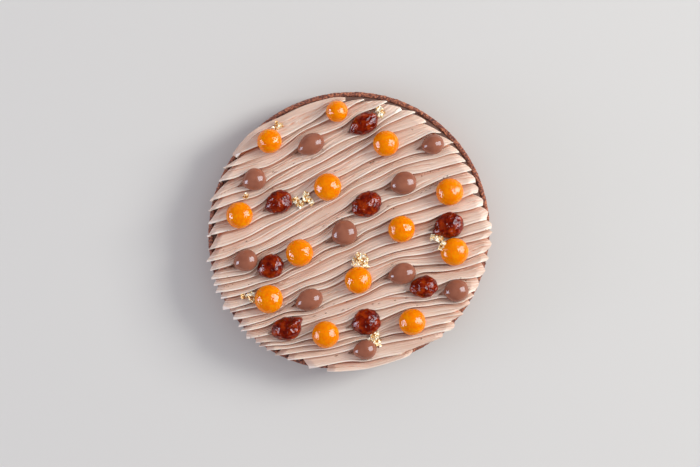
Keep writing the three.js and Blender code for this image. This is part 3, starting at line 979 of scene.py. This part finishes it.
def makeCrust(look):
    section = crustSection()
    roughInside = tart["radius"] - tart["wall"] - crust["roughInside"]
    count, rings = crust["around"], len(section)
    vertices, faces = [], []
    for i in range(count):
        angle = 2 * math.pi * i / count
        grow = float(crustRadius(angle)) / tart["radius"]
        for radius, z in section:
            x, y = math.cos(angle) * radius * grow, math.sin(angle) * radius * grow
            out, up = 1, 0
            if radius > roughInside and z > crust["roughFrom"]:
                rough = crustRoughness(Vector((x, y, z)))
                out += (rough * crust["outShare"] - crust["outLess"]) / radius
                up = rough - crust["rimLess"] if z > tart["height"] - crust["rimZone"] else 0
            vertices.append((x * out * mm, y * out * mm, (z + up) * mm))
    for i in range(count):
        j = (i + 1) % count
        for k in range(rings - 1):
            faces.append((i * rings + k, j * rings + k, j * rings + k + 1, i * rings + k + 1))
    faces.append(tuple(i * rings for i in range(count - 1, -1, -1)))
    faces.append(tuple(i * rings + rings - 1 for i in range(count)))
    mesh = bpy.data.meshes.new("crustShell")
    mesh.from_pydata(vertices, [], faces)
    piece = bpy.data.objects.new("crustShell", mesh)
    bpy.context.collection.objects.link(piece)
    settle(piece, look, "crust", crust["smoothTo"])


# x, y, height, length, width and turn of each cluster, and its number of leaves
goldSpots = [
    (-44.8, 67.2, 25.8, 8.0, 3.8, -10, 3), (21.0, 77.2, 26.2, 6.5, 5.0, 40, 3),
    (-65.7, 23.0, 26.2, 3.0, 2.4, 80, 1), (-31.0, 20.2, 26.6, 6.2, 5.6, 40, 3),
    (-26.0, 21.4, 26.6, 5.4, 8.6, 15, 3), (7.4, -18.4, 27.6, 9.4, 8.2, 0, 5),
    (56.2, -3.6, 27.4, 7.0, 6.0, 35, 3), (60.6, -8.8, 31.0, 4.6, 7.0, 35, 3),
    (-61.4, -41.6, 27.4, 3.8, 9.0, 8, 3), (-67.1, -40.3, 26.4, 2.6, 2.6, 0, 1),
    (15.3, -68.0, 27.2, 7.6, 6.4, 30, 4),
]
gold = {
    "sheet": 0.05,
    "smoothTo": 40,
    "grid": 20,
    "leafSize": 0.55,  # of a leaf in a cluster, as a share of the cluster
    "spread": 1.3,
    "scatter": 1.6,
    "lean": 1.6,
    "leanShare": 0.5,
    "spin": 1.5,
    "lift": 1.2,
    "ragged": 0.25,
    "raggedScale": 0.9,
    "crumple": 1.9,
    "crumpleSize": 1.5,
    "crumpleSide": 0.35,
    "drawnIn": 0.95,
    "fine": 0.3,
    "fineSize": 1.0,
    "seed": 71,
    "seedSpan": 50,
}


def makeGold(look):
    draw = randomFrom(gold["seed"])
    noise.seed_set(gold["seed"])  # noise_vector would otherwise take its offsets from the clock
    sheets = []
    for x, y, z, length, width, turn, leaves in goldSpots:
        for _ in range(leaves):
            deselectAll()
            bpy.ops.mesh.primitive_grid_add(x_subdivisions=gold["grid"], y_subdivisions=gold["grid"], size=1)
            sheet = bpy.context.object
            seed = Vector((draw() * gold["seedSpan"], draw() * gold["seedSpan"], draw() * gold["seedSpan"]))
            size = gold["leafSize"] if leaves > 1 else 1
            shiftX = (draw() - 0.5) * length * (1 - size) * gold["scatter"]
            shiftY = (draw() - 0.5) * width * (1 - size) * gold["scatter"]
            lean = (draw() - 0.5) * gold["lean"]
            spin = math.radians(turn) + (draw() - 0.5) * gold["spin"]
            lift = draw() * gold["lift"]
            c, s = math.cos(spin), math.sin(spin)
            for vertex in sheet.data.vertices:
                p = Vector((vertex.co.x * length, vertex.co.y * width, 0)) * size * gold["spread"]
                p *= 1 - gold["ragged"] * noise.noise(p * gold["raggedScale"] + seed)
                big = noise.noise_vector(p / gold["crumpleSize"] + seed) * gold["crumple"]
                fine = noise.noise_vector(p / gold["fineSize"] + seed) * gold["fine"]
                p = p * gold["drawnIn"] + big * gold["crumpleSide"] + fine
                p.z = abs(big.z) + fine.z + p.x * math.sin(lean) * gold["leanShare"]
                p = Vector((p.x + shiftX, p.y + shiftY, p.z + lift))
                vertex.co = Vector((x + p.x * c - p.y * s, y + p.x * s + p.y * c, z + p.z)) * mm
            sheets.append(sheet)
    deselectAll()
    for sheet in sheets:
        sheet.select_set(True)
    bpy.context.view_layer.objects.active = sheets[0]
    bpy.ops.object.join()
    piece = bpy.context.object
    piece.name = "goldLeaf"
    thickness = piece.modifiers.new("thickness", "SOLIDIFY")
    thickness.thickness = gold["sheet"] * mm
    bpy.ops.object.modifier_apply(modifier=thickness.name)
    settle(piece, look, "cream", gold["smoothTo"])


makeCamera()
makeLights()
makeFloor()
print("camera, light and floor are in place")

drops = findDrops()
makeDrops(drops, {"orangeDrop": orangeLook(), "milkDrop": milkLook(), "darkDrop": darkLook()})
print("drops made:", len(drops))

makeCream(drops, creamLook())
print("cream made")

makeCrust(crustLook())
filling = bpy.data.objects["filling"]
filling.data.materials.clear()
filling.data.materials.append(ganacheLook())
print("crust and filling made")

makeGold(goldLook())
print("gold leaf made")
